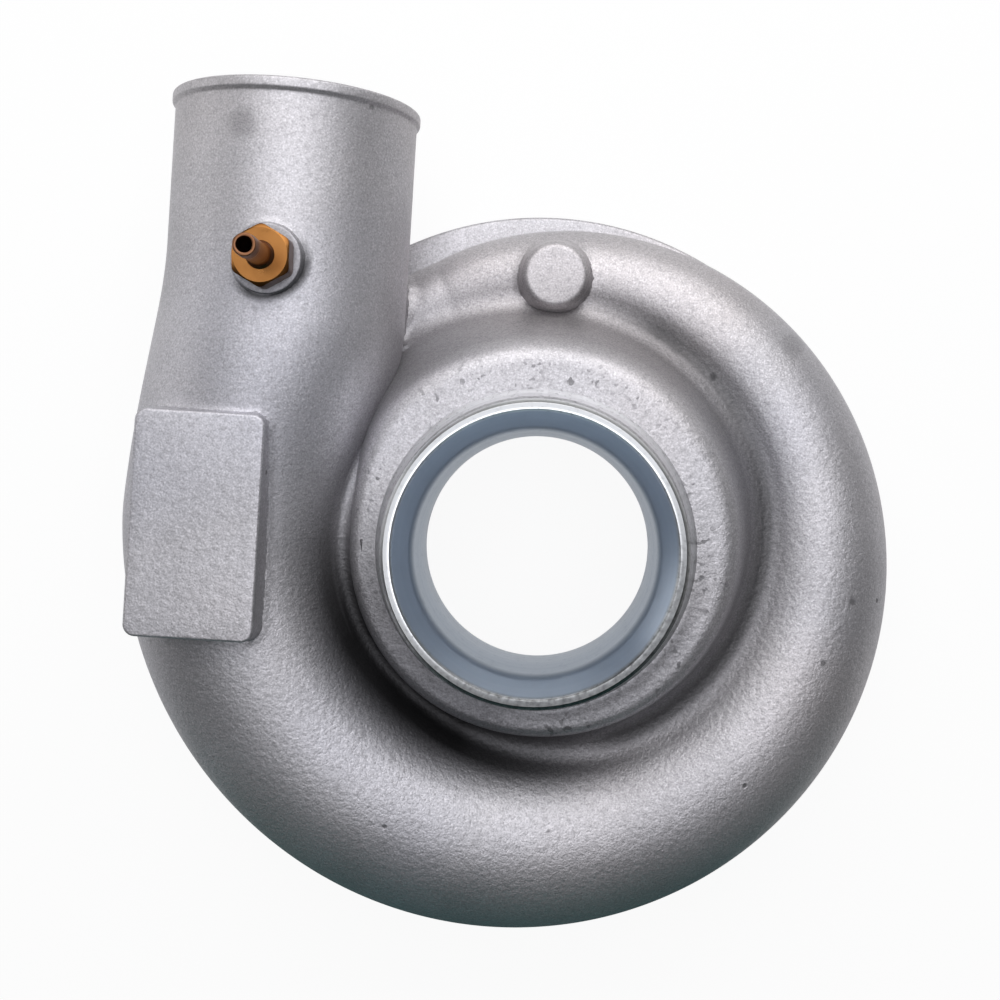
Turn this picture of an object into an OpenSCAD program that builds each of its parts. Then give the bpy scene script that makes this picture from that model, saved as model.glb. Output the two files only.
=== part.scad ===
// Turbo compressor housing: one cast scroll with a machined inlet, and the brass hose nipple screwed into it.
// The bore axis is +Z towards the inlet, the outlet pipe runs along +Y, and the back face lies on z = 0.

/* [Inlet] */
// Height of the inlet lip above the back face
inlet_h = 70; // [66:0.5:78]
// Inner radius of the lip, where the inlet cone starts
lip_inner_r = 32; // [31:0.25:32.6]
// Outer radius of the flat face of the lip
lip_outer_r = 33.8; // [33.4:0.1:34.2]
// Radius of the hose seat just under the lip
spigot_r = 34.6; // [34.4:0.1:35.2]
// Radius of the hose seat at its foot
spigot_foot_r = 36.6; // [36:0.1:37.5]
// Radius of the throat, just over the wheel
throat_r = 26.5; // [25:0.25:27.5]

/* [Hub] */
// Height of the shelf around the inlet
shelf_z = 54.5; // [53:0.5:56]
// Radius of the shelf where the scroll is largest
shelf_r = 43.6; // [43:0.2:44.6]
// Further reach of the shelf at the small end of the scroll
shelf_spread = 3.6; // [2:0.2:5]
// Radius of the rounding at the edge of the shelf
shelf_round = 2.6; // [1.5:0.1:3.5]
// Radius of the hollow between the hub and the scroll
valley_round = 4.5; // [3:0.25:6]

/* [Scroll] */
// Wall of the casting
wall = 4.5; // [3.5:0.25:5.5]
// Lowest point of the scroll over the back face
scroll_floor = 8.5; // [8:0.25:10]
// Outer radius of the scroll section at the tongue
tongue_section = 10.2; // [9.5:0.1:11]
// Outer radius of the scroll section where the outlet begins
mouth_section = 28; // [27:0.25:29]
// Distance of the inner side of the scroll from the bore axis at the tongue
tongue_inner_r = 56; // [55:0.25:57]
// Distance of the inner side of the scroll from the bore axis where the outlet begins
mouth_inner_r = 45; // [44:0.25:46]
// Angle of the tongue from the +X axis
tongue_angle = 113.5; // [112:0.5:115]

/* [Outlet] */
// Outer radius of the outlet pipe
pipe_r = 29; // [28:0.25:30]
// Distance of the pipe axis from the bore axis
pipe_x = 64.9; // [64:0.25:66]
// Distance from the bore axis to the open end of the pipe
pipe_end = 103.5; // [98:0.5:110]
// Height of the bead at the open end over the pipe
bead_rise = 0.8; // [0.5:0.1:1.2]
// Width of the bead
bead_w = 3.2; // [2.4:0.2:4]

/* [Back] */
// Outer radius of the back flange
flange_r = 84.75; // [83:0.25:86]
// Thickness of the back flange
flange_t = 12.5; // [11:0.5:12.5]
// Radius of the bore that locates the backplate
register_r = 70; // [69:0.25:71]
// Depth of that bore
register_d = 9; // [8.5:0.25:9.5]
// Depth of the retaining-ring groove
ring_groove_d = 2.5; // [1.5:0.25:3]
// Width of the retaining-ring groove
ring_groove_w = 2.4; // [1.6:0.2:3]
// Radius of the step that the backplate seats on
seat_r = 66; // [65:0.25:67]
// Width of the diffuser gap
diffuser_gap = 4.5; // [4:0.25:5]
// Outer radius of the diffuser face
diffuser_r = 60; // [59:0.25:61]
// Radius of the wheel where the air leaves it
wheel_r = 36; // [34:0.5:37]

/* [Pad and boss] */
// Length of the raised pad along the pipe
pad_l = 51; // [44:0.5:54]
// Width of the raised pad
pad_w = 29.1; // [26:0.5:30]
// Radius of the corners of the pad
pad_corner = 2.7; // [2:0.1:4]
// Height of the pad face over the back face
pad_z = 69; // [68.5:0.25:70]
// Radius of the round boss
boss_r = 8; // [7:0.25:9]
// Height of the round boss over the crest of the scroll
boss_rise = 5.2; // [4:0.2:7]

/* [Nipple] */
// Distance of the nipple from the bore axis along the pipe
nipple_y = 62.3; // [58:0.5:68]
// Width across the flats of the hexagon
hex_flats = 12.6; // [11.5:0.1:13.5]
// Height of the hexagon
hex_h = 5.5; // [4.5:0.25:7]
// Outer diameter of the hose stem
stem_d = 5.2; // [4.8:0.1:6]
// Length of the hose stem
stem_l = 15; // [12:0.5:18]
// Bore of the nipple
nipple_bore = 3.4; // [3:0.1:3.8]
// Diameter of the threaded shank
shank_d = 8; // [7:0.25:9]

/* [Hidden] */
cast_colour = [0.72, 0.72, 0.73];
brass_colour = [0.72, 0.52, 0.2];

// Outlet run: where the scroll has turned half way round and goes over into the pipe
mouth_wrap = tongue_angle + 180;
run_inner = 50;
run_outer = 68;

// Fineness of the lofts
wrap_step = 8;
run_step = 6;
ring_sides = 28;
bore_sides = 20;

// Angles, in wrap from the tongue, at which the scroll, its passage and the hub loft start
tail_wrap = -28;
passage_wrap = -22;
hub_wrap = -36.5;
hub_sections = 45;

// Places of the pad, the round boss and the nipple
pad_y = 1.9;
pad_inset = 10.2;
boss_turn = 90;
boss_sink = 6;
boss_draft = 1.2;
nipple_offset = 0.9;
nipple_x = nipple_offset - pipe_x;
seat_rise = 1.5;
nipple_seat = scroll_floor + 2 * pipe_r + seat_rise;
boss_seat_r = hex_flats / 2 + 1.7;
thread_gap = 0.1;
hex_turn = 15;
hex_chamfer = 30;
hex_face_r = hex_flats / 2 - 0.3;

// Machined core: it reaches a little into the cast shell, whose own hollow is a step larger
core_r = wheel_r + 5.5;
core_top = shelf_z - 4.5;
core_step = 1;
face_z = register_d + diffuser_gap;
notch_z = face_z + 6;
seat_l = 8;
edge_break = 0.4;
foot_fillet = 1.6;
cone_h = 5.7;
cone_foot_r = throat_r + 1.2;
throat_z = inlet_h - 17;
throat_l = 4;
contour_r = wheel_r + 4;
contour_steps = 8;

// Hub
hub_core_r = throat_r - 3;
hub_foot = register_d - 4;
sink = 1;
ring_groove_z = (register_d - ring_groove_w) / 2;
flange_break = 0.8;

function smooth(t) = let (c = min(max(t, 0), 1)) c * c * (3 - 2 * c);

// Scroll law: the section grows with the wrap angle while its inner side closes on the hub
function section_r(w) = tongue_section
    + (mouth_section - tongue_section) * pow(max(w, 0) / mouth_wrap, 0.85) + min(w, 0) * 0.03;
function inner_r(w) = tongue_inner_r - (tongue_inner_r - mouth_inner_r) * w / mouth_wrap;

// Outlet law: both sides of the run go over into the straight pipe
function run_inner_x(y) = -mouth_inner_r + (mouth_inner_r - pipe_x + pipe_r) * smooth(y / run_inner);
function run_outer_x(y) = -(mouth_inner_r + 2 * mouth_section)
    + (mouth_inner_r + 2 * mouth_section - pipe_x - pipe_r) * smooth(y / run_outer);
function run_r(y) = (run_inner_x(y) - run_outer_x(y)) / 2 - 0.15 * smooth(y / run_outer);

// One ring of a section: radius r_c of its centre, section radius s, floor z_f, at the angle a
function scroll_ring(w, inset, n) =
    let (s = section_r(w), r_c = inner_r(w) + s, a = tongue_angle - w)
    [for (i = [0:n - 1]) let (t = 360 * (i + 0.5) / n, q = s - inset)
        [(r_c + q * cos(t)) * cos(a), (r_c + q * cos(t)) * sin(a), scroll_floor + s + q * sin(t)]];
function run_ring(y, inset, n) =
    let (s = run_r(y), x_c = (run_inner_x(y) + run_outer_x(y)) / 2)
    [for (i = [0:n - 1]) let (t = 360 * (i + 0.5) / n, q = s - inset)
        [x_c - q * cos(t), y, scroll_floor + s + q * sin(t)]];

// Closed loft through rings that all have n points
module loft(rings, n) {
    m = len(rings);
    points = [for (r = rings) each r];
    sides = [for (k = [0:m - 2]) for (i = [0:n - 1]) let (j = (i + 1) % n) each [
        [k * n + i, (k + 1) * n + j, k * n + j],
        [k * n + i, (k + 1) * n + i, (k + 1) * n + j]]];
    first = [[for (i = [0:n - 1]) i]];
    last = [[for (i = [0:n - 1]) m * n - 1 - i]];
    polyhedron(points, concat(sides, first, last), convexity = 6);
}

function wraps(from) = [for (k = [0:ceil((mouth_wrap - from) / wrap_step)])
    min(from + k * wrap_step, mouth_wrap)];

// Scroll with its wall taken off by inset, and the run that carries it over into the pipe
module tube(inset, n, from, to) {
    loft([for (w = wraps(from)) scroll_ring(w, inset, n)], n);
    loft([for (y = [0:run_step:to]) run_ring(y, inset, n)], n);
}

// Hub flank: from the shelf edge down a drafted line, then a hollow that ends on the scroll section
function spread(w) = smooth((w + 66) / 45) * smooth((mouth_wrap - 70 - w) / 150);
function edge_r(w) = shelf_r + shelf_spread * spread(w);
function flank_draft(w) = 4 + 22 * spread(w);
function valley_r(w) = valley_round * (0.5 + 0.5 * smooth((250 - w) / 90));

function arc(c, q, t0, t1, n) = [for (i = [0:n]) let (t = t0 + (t1 - t0) * i / n)
    [c[0] + q * cos(t), c[1] + q * sin(t)]];

function hub_section(w) =
    let (s = section_r(w),
        c = [inner_r(w) + s, scroll_floor + s],
        b = flank_draft(w),
        q = valley_r(w),
        down = [sin(b), -cos(b)],
        out = [cos(b), sin(b)],
        corner = [edge_r(w), shelf_z],
        shoulder = [corner[0] - shelf_round * tan(45 - b / 2), shelf_z - shelf_round],
        v = corner + q * out - c,
        g = v * down,
        t = -g - sqrt(max(g * g - v * v + pow(s - sink + q, 2), 0.01)),
        hollow = corner + q * out + t * down,
        to_scroll = 360 + atan2(c[1] - hollow[1], c[0] - hollow[0]))
    concat([[hub_core_r, hub_foot], [hub_core_r, shelf_z]],
        arc(shoulder, shelf_round, 90, b, 4),
        arc(hollow, q, 180 + b, to_scroll, 6),
        [c, [c[0], hub_foot]]);

// Past the mouth the hub section goes over into the one it started with, so the ring closes
function hub_profile(w) = let (f = smooth((w - mouth_wrap) / (360 + hub_wrap - mouth_wrap)))
    (1 - f) * hub_section(w) + f * hub_section(w - 360);

module hub() {
    rings = [for (k = [0:hub_sections - 1]) let (w = hub_wrap + 360 * k / hub_sections, a = tongue_angle - w)
        [for (p = hub_profile(w)) [p[0] * cos(a), p[0] * sin(a), p[1]]]];
    n = len(rings[0]);
    m = hub_sections;
    points = [for (r = rings) each r];
    faces = [for (k = [0:m - 1]) for (i = [0:n - 1]) let (j = (i + 1) % n, u = (k + 1) % m) each [
        [k * n + i, k * n + j, u * n + j],
        [k * n + i, u * n + j, u * n + i]]];
    polyhedron(points, faces, convexity = 6);
}

// Machined core as one revolve: hose seat and lip outside, inlet cone, throat and wheel contour inside
module core() {
    contour_top = throat_z - throat_l;
    contour = [for (i = [1:contour_steps]) let (t = 90 * i / contour_steps)
        [throat_r + (contour_r - throat_r) * (1 - cos(t)),
        contour_top - (contour_top - face_z) * sin(t)]];
    rotate_extrude($fn = 96) polygon(concat([
        [core_r, face_z], [core_r, core_top], [spigot_foot_r + foot_fillet, core_top],
        [spigot_foot_r + foot_fillet, shelf_z - 1], [spigot_foot_r, shelf_z + 1.4],
        [spigot_r, inlet_h - seat_l], [spigot_r, inlet_h - 2 * edge_break],
        [lip_outer_r, inlet_h], [lip_inner_r + edge_break, inlet_h], [lip_inner_r, inlet_h - edge_break],
        [cone_foot_r, inlet_h - cone_h], [throat_r, throat_z], [throat_r, contour_top]], contour));
}

// Back flange as one revolve: register bore with its ring groove, and the seat of the backplate
module flange() {
    rotate_extrude($fn = 120) polygon([
        [seat_r + 3, flange_t], [seat_r, register_d], [register_r, register_d],
        [register_r, ring_groove_z + ring_groove_w],
        [register_r + ring_groove_d, ring_groove_z + ring_groove_w],
        [register_r + ring_groove_d, ring_groove_z], [register_r, ring_groove_z],
        [register_r, 0], [flange_r - flange_break, 0], [flange_r, flange_break],
        [flange_r, flange_t - flange_break], [flange_r - flange_break, flange_t]]);
}

// Hollow of the cast shell around the core, and the ring notch through which the diffuser feeds the scroll
module shell_hollow() {
    rotate_extrude($fn = 96) polygon([
        [0, -1], [register_r + 1, -1], [register_r + 1, register_d + 0.7],
        [seat_r + 0.1, register_d + 0.7], [seat_r + 0.1, notch_z], [diffuser_r, notch_z],
        [diffuser_r, face_z + 0.1], [core_r - core_step, face_z + 0.1],
        [core_r - core_step, core_top - 2], [spigot_foot_r - core_step, core_top - 2],
        [spigot_foot_r - core_step, inlet_h], [0, inlet_h]]);
}

// Straight end of the outlet, a true cylinder inside and out, with a bead at its mouth
module pipe() {
    translate([-pipe_x, run_outer, scroll_floor + pipe_r]) rotate([-90, 0, 0]) difference() {
        cylinder(r = pipe_r, h = pipe_end - run_outer, $fn = 96);
        translate([0, 0, -1]) cylinder(r = pipe_r - wall, h = pipe_end - run_outer + 2, $fn = 96);
    }
}

module bead() {
    translate([-pipe_x, pipe_end, scroll_floor + pipe_r]) rotate([90, 0, 0]) rotate_extrude($fn = 96)
        polygon([[pipe_r - 2, 0], [pipe_r + bead_rise - 0.6, 0], [pipe_r + bead_rise, 0.6],
            [pipe_r + bead_rise, bead_w - 1], [pipe_r - 0.01, bead_w], [pipe_r - 2, bead_w]]);
}

// Raised pad over the outer half of the scroll, in line with the pipe
module pad() {
    x = pad_inset + pad_w / 2 - mouth_inner_r - 2 * mouth_section;
    translate([x, pad_y, scroll_floor + mouth_section]) linear_extrude(pad_z - scroll_floor - mouth_section)
        union() {
            square([pad_w - 2 * pad_corner, pad_l], center = true);
            square([pad_w, pad_l - 2 * pad_corner], center = true);
            for (sx = [-1, 1]) for (sy = [-1, 1])
                translate([sx * (pad_w / 2 - pad_corner), sy * (pad_l / 2 - pad_corner)])
                    circle(r = pad_corner, $fn = 32);
        }
}

module round_boss() {
    w = tongue_angle - boss_turn;
    s = section_r(w);
    crest = scroll_floor + 2 * s;
    rotate([0, 0, boss_turn]) translate([inner_r(w) + s, 0, crest - boss_sink])
        cylinder(r1 = boss_r + boss_draft, r2 = boss_r, h = boss_rise + boss_sink, $fn = 64);
}

// Machined seat of the nipple with its threaded hole
module nipple_boss() {
    translate([nipple_x, nipple_y, nipple_seat - wall - seat_rise]) difference() {
        cylinder(r = boss_seat_r, h = wall + seat_rise, $fn = 64);
        translate([0, 0, -1]) cylinder(r = shank_d / 2 + thread_gap, h = wall + 4, $fn = 48);
    }
}

// As-cast shell: scroll, outlet run, hub, pad and boss around the air passage
module cast_shell() {
    resize([0, 0, 0]) difference() {
        union() {
            tube(0, ring_sides, tail_wrap, run_outer + 4);
            hub();
            pad();
            round_boss();
        }
        tube(wall, bore_sides, passage_wrap, run_outer + 4);
        shell_hollow();
        translate([nipple_x, nipple_y, scroll_floor + pipe_r])
            cylinder(r = shank_d / 2 + 2 * thread_gap, h = pipe_r + 4, $fn = 48);
    }
}

module compressor_housing() {
    color(cast_colour) union() {
        cast_shell();
        core();
        flange();
        pipe();
        bead();
        nipple_boss();
    }
}

// Hexagon with its upper corners turned off
module hexagon() {
    corner_r = hex_flats / 2 / cos(30);
    outer_r = corner_r + 1;
    intersection() {
        rotate([0, 0, hex_turn]) cylinder(r = corner_r, h = hex_h, $fn = 6);
        rotate_extrude($fn = 48) polygon([[0, -1], [outer_r, -1],
            [outer_r, hex_h - (outer_r - hex_face_r) * tan(hex_chamfer)],
            [hex_face_r, hex_h], [0, hex_h]]);
    }
}

// Brass hose nipple: threaded shank, hexagon and hose stem on one axis, bored through
module hose_nipple() {
    top = hex_h + stem_l;
    shank_foot = -wall - 1;
    shank_r = shank_d / 2;
    stem_r = stem_d / 2;
    bore_r = nipple_bore / 2;
    color(brass_colour) translate([nipple_x, nipple_y, nipple_seat]) difference() {
        union() {
            hexagon();
            rotate_extrude($fn = 48) polygon([[0, shank_foot], [shank_r - 2 * edge_break, shank_foot],
                [shank_r, shank_foot + 2 * edge_break], [shank_r, 1], [stem_r, 1],
                [stem_r, top - edge_break], [stem_r - edge_break, top], [0, top]]);
        }
        translate([0, 0, shank_foot - 1]) cylinder(r = bore_r, h = top - shank_foot + 2, $fn = 48);
    }
}

compressor_housing();
hose_nipple();
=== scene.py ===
from types import SimpleNamespace

import bpy
import numpy as np
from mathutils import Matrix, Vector


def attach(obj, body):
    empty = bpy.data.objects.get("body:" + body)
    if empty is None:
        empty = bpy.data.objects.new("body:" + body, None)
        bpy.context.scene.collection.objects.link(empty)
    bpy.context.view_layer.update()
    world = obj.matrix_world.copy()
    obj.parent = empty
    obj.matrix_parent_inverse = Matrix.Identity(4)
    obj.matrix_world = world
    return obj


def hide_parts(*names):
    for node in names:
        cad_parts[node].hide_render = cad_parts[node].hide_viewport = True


bl_info = {
    "name": "Turbo Compressor Housing",
    "version": (1, 0, 0),
    "blender": (4, 5, 0),
    "location": "View3D > Sidebar > Housing",
    "description": "Builds a cast turbo compressor housing with its hose nipple, floor, light and camera",
    "category": "Add Mesh",
}

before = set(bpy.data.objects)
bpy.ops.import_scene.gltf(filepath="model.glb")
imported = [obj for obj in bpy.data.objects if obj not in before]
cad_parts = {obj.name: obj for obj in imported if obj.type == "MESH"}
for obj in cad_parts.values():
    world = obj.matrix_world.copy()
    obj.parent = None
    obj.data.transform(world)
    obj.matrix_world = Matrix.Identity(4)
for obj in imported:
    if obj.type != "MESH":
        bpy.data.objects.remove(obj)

MM = 0.001

# Stains and pits of the skin: place on the top side in metres, radius in metres, depth of the stain
CAST_SPOTS = (
    (0.0407, 0.0438, 0.0012, 1.0),
    (-0.0712, 0.0925, 0.0045, 0.3),
    (0.0600, 0.0530, 0.0040, 0.22),
    (0.0765, -0.0085, 0.0012, 0.5),
    (0.0700, -0.0235, 0.0010, 0.6),
    (-0.0440, 0.0998, 0.0007, 0.5),
)

# The scroll begins LEAD degrees before the tongue, and angles round the bore run from BEFORE degrees ahead of it
LEAD = 33.0
BEFORE = 66.0

# Power that the scroll's section grows with, and by how many millimetres a degree it shrinks ahead of the tongue
GROWTH = 0.85
SHRINKING = 0.03

# Slopes that the inner and outer side of the outlet run start with, and the length in millimetres that they fade over
INNER_SLOPE = 0.048
OUTER_SLOPE = 0.037
SLOPE_FADE = 14.0

# Draft of the hub flank in degrees, and what it grows by where the flank leans out
DRAFT = 4.0
MORE_DRAFT = 22.0

# Distance in millimetres that stands for a body out of reach
FAR = 50.0

# Drafts in radians and edge roundings in millimetres of the raised marks, and how far their walls may flare
PAD_LEAN, PAD_EDGE = np.radians(2.0), 0.7
BOSS_LEAN, BOSS_EDGE = np.radians(12.0), 1.5
SEAT_EDGE = 0.4
FLARE = 2.0

# Angle that the hexagon was tightened to
HEX_TURN = np.radians(32.0)

# Rows at the start of each scroll section that lie under the hub's skin
BURIED_ROWS = 4

# Sizes and colours that a user would change


def length(name, default_mm, description):
    """A length property; its default is given in millimetres."""
    return bpy.props.FloatProperty(
        name=name, default=default_mm * MM, min=0.0, unit="LENGTH", precision=5, description=description
    )


def colour(name, default, description):
    """A linear colour property without alpha."""
    return bpy.props.FloatVectorProperty(
        name=name, default=default, size=3, min=0.0, max=1.0, subtype="COLOR", description=description
    )


class InletSizes(bpy.types.PropertyGroup):
    """Machined inlet: lip, hose seat, cone and throat."""

    lip_z: length("Lip height", 70.0, "Height of the inlet lip over the back face")
    lip_inner_r: length("Lip inner radius", 32.0, "Inner radius of the lip")
    lip_outer_r: length("Lip outer radius", 33.8, "Outer radius of the flat lip face")
    seat_r: length("Hose seat radius", 34.6, "Radius of the hose seat under the lip")
    seat_l: length("Hose seat length", 8.0, "Length of the straight hose seat")
    foot_r: length("Seat foot radius", 36.6, "Radius where the hose seat runs out over the shelf")
    throat_r: length("Throat radius", 26.5, "Radius of the throat over the wheel")
    cone_r: length("Cone foot radius", 27.7, "Radius at the foot of the steep inlet cone")
    cone_z: length("Cone foot height", 64.3, "Height of the foot of the steep inlet cone")
    throat_z: length("Throat height", 53.0, "Height of the upper end of the throat")
    throat_l: length("Throat length", 4.0, "Length of the straight throat")
    wheel_r: length("Wheel radius", 36.0, "Radius of the wheel where the air leaves it")
    core_r: length("Core radius", 41.5, "Radius of the machined core inside the casting")


class HubSizes(bpy.types.PropertyGroup):
    """Shelf and flank of the hub around the inlet."""

    shelf_z: length("Shelf height", 54.5, "Height of the shelf around the inlet")
    shelf_r: length("Shelf radius", 43.6, "Radius of the shelf where the scroll is largest")
    shelf_spread: length("Shelf spread", 3.6, "Further reach of the shelf at the small end of the scroll")
    shelf_round: length("Shelf rounding", 2.6, "Rounding at the edge of the shelf where the scroll is largest")
    soft_round: length("Soft rounding", 3.4, "What the rounding grows by at the small end of the scroll")
    valley_round: length("Valley rounding", 6.0, "Radius of the hollow between hub and scroll")
    run_round: length("Outlet fillet", 3.5, "Radius of the fillet between the small scroll and the outlet run")


class ScrollSizes(bpy.types.PropertyGroup):
    """Law of the growing scroll."""

    wall: length("Wall", 4.5, "Wall of the casting")
    floor_z: length("Floor", 8.5, "Lowest point of the scroll over the back face")
    tongue_s: length("Tongue section", 10.2, "Outer radius of the section at the tongue")
    mouth_s: length("Mouth section", 28.0, "Outer radius of the section where the outlet begins")
    tongue_r: length("Tongue inner radius", 56.0, "Inner side of the scroll at the tongue")
    mouth_r: length("Mouth inner radius", 45.0, "Inner side of the scroll where the outlet begins")
    tongue_angle: bpy.props.FloatProperty(
        name="Tongue angle",
        default=float(np.radians(113.5)),
        unit="ROTATION",
        description="Angle of the tongue from the X axis",
    )


class OutletSizes(bpy.types.PropertyGroup):
    """Outlet run and beaded pipe."""

    pipe_r: length("Pipe radius", 29.0, "Outer radius of the pipe")
    pipe_x: length("Pipe distance", 64.9, "Distance of the pipe axis from the bore axis")
    pipe_end: length("Pipe end", 103.5, "Distance of the open end from the bore axis")
    bead_rise: length("Bead height", 0.8, "Height of the bead over the pipe")
    bead_w: length("Bead width", 3.2, "Width of the bead")
    run_inner: length("Inner run", 50.0, "Length over which the inner side goes over into the pipe")
    run_outer: length("Outer run", 68.0, "Length over which the outer side goes over into the pipe")


class BackSizes(bpy.types.PropertyGroup):
    """Back flange, register bore and diffuser."""

    flange_r: length("Flange radius", 84.75, "Outer radius of the back flange")
    flange_t: length("Flange thickness", 12.5, "Thickness of the back flange")
    register_r: length("Register radius", 70.0, "Radius of the bore that locates the backplate")
    register_d: length("Register depth", 9.0, "Depth of the register bore")
    groove_d: length("Ring groove depth", 2.5, "Depth of the retaining-ring groove")
    groove_w: length("Ring groove width", 2.4, "Width of the retaining-ring groove")
    seat_r: length("Seat radius", 66.0, "Inner radius of the step that the backplate seats on")
    diffuser_gap: length("Diffuser gap", 4.5, "Width of the diffuser gap")
    diffuser_r: length("Diffuser radius", 60.0, "Outer radius of the diffuser face")


class PadSizes(bpy.types.PropertyGroup):
    """Raised pad, round boss and nipple seat."""

    pad_x: length("Pad offset", 76.25, "Distance of the pad centre from the bore axis across the pipe")
    pad_y: length("Pad shift", 1.9, "Shift of the pad centre along the pipe")
    pad_w: length("Pad width", 29.1, "Width of the pad")
    pad_l: length("Pad length", 51.0, "Length of the pad")
    pad_z: length("Pad height", 69.0, "Height of the pad face over the back face")
    pad_corner: length("Pad corners", 2.7, "Radius of the corners of the pad")
    boss_r: length("Boss radius", 8.0, "Radius of the round boss")
    boss_rise: length("Boss height", 5.2, "Height of the round boss over the scroll")
    foot_round: length("Foot fillets", 1.2, "Radius of the fillets at the foot of pad, boss and nipple seat")


class NippleSizes(bpy.types.PropertyGroup):
    """Brass hose nipple."""

    x: length("Offset", 64.0, "Distance from the bore axis across the pipe")
    y: length("Along the pipe", 62.3, "Distance from the bore axis along the pipe")
    seat_z: length("Seat height", 68.0, "Height of the seat face over the back face")
    seat_r: length("Seat radius", 8.0, "Radius of the machined seat ring")
    flats: length("Across flats", 12.6, "Width across the flats of the hexagon")
    hex_h: length("Hexagon height", 5.5, "Height of the hexagon")
    stem_d: length("Stem diameter", 5.2, "Outer diameter of the hose stem")
    stem_l: length("Stem length", 15.0, "Length of the hose stem")
    bore_d: length("Bore", 3.4, "Bore of the nipple")


class FinishColours(bpy.types.PropertyGroup):
    """Colours of the metals."""

    cast: colour("Casting", (0.5, 0.487, 0.508), "Base colour of the cast skin")
    machined: colour("Machined", (0.80, 0.81, 0.82), "Base colour of the turned faces")
    brass: colour("Brass", (0.27, 0.12, 0.036), "Base colour of the hexagon")
    stem: colour("Stem", (0.2, 0.095, 0.05), "Base colour of the tarnished stem")


class StudioSettings(bpy.types.PropertyGroup):
    """Camera place and light levels."""

    lens: bpy.props.FloatProperty(name="Lens", default=48.74, min=1.0, description="Focal length in millimetres")
    camera_x: length("Camera X", 4.6, "Camera distance right of the bore axis")
    camera_y: length("Camera Y", 23.6, "Camera distance up along the pipe")
    camera_z: length("Camera height", 370.0, "Camera height over the back face")
    roll: bpy.props.FloatProperty(
        name="Roll", default=float(np.radians(3.45)), unit="ROTATION", description="Roll of the camera"
    )
    key: bpy.props.FloatProperty(
        name="Key light", default=3.6, min=0.0, description="Level of the main panel, where 1 is paper white"
    )
    world: bpy.props.FloatProperty(name="World", default=0.025, min=0.0, description="Strength of the sky")


SIZE_GROUPS = {
    "tch_inlet": InletSizes,
    "tch_hub": HubSizes,
    "tch_scroll": ScrollSizes,
    "tch_outlet": OutletSizes,
    "tch_back": BackSizes,
    "tch_pad": PadSizes,
    "tch_nipple": NippleSizes,
    "tch_finish": FinishColours,
    "tch_studio": StudioSettings,
}


def sizes(scene):
    """All size groups as plain namespaces in millimetres, with the scroll's angles in radians."""
    found = SimpleNamespace()
    for key, group in SIZE_GROUPS.items():
        if key in ("tch_finish", "tch_studio"):
            continue
        values = getattr(scene, key)
        plain = {name: getattr(values, name) for name in group.__annotations__}
        scaled = {name: v if name == "tongue_angle" else v / MM for name, v in plain.items()}
        setattr(found, key[4:], SimpleNamespace(**scaled))
    return found


# Laws of the form, in millimetres


def ease(t):
    """Cubic that goes from 0 to 1 with level ends: 3 t squared less 2 t cubed."""
    c = np.clip(t, 0.0, 1.0)
    return c * c * (3.0 - 2.0 * c)


def round_union(a, b, r):
    """Distance to two joined bodies with a fillet of radius r where both are nearer than r."""
    return np.maximum(r, np.minimum(a, b)) - np.hypot(np.maximum(r - a, 0.0), np.maximum(r - b, 0.0))


def round_cut(a, b, r):
    """Distance to what two bodies share, its edge rounded to radius r."""
    return np.minimum(-r, np.maximum(a, b)) + np.hypot(np.maximum(r + a, 0.0), np.maximum(r + b, 0.0))


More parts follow.
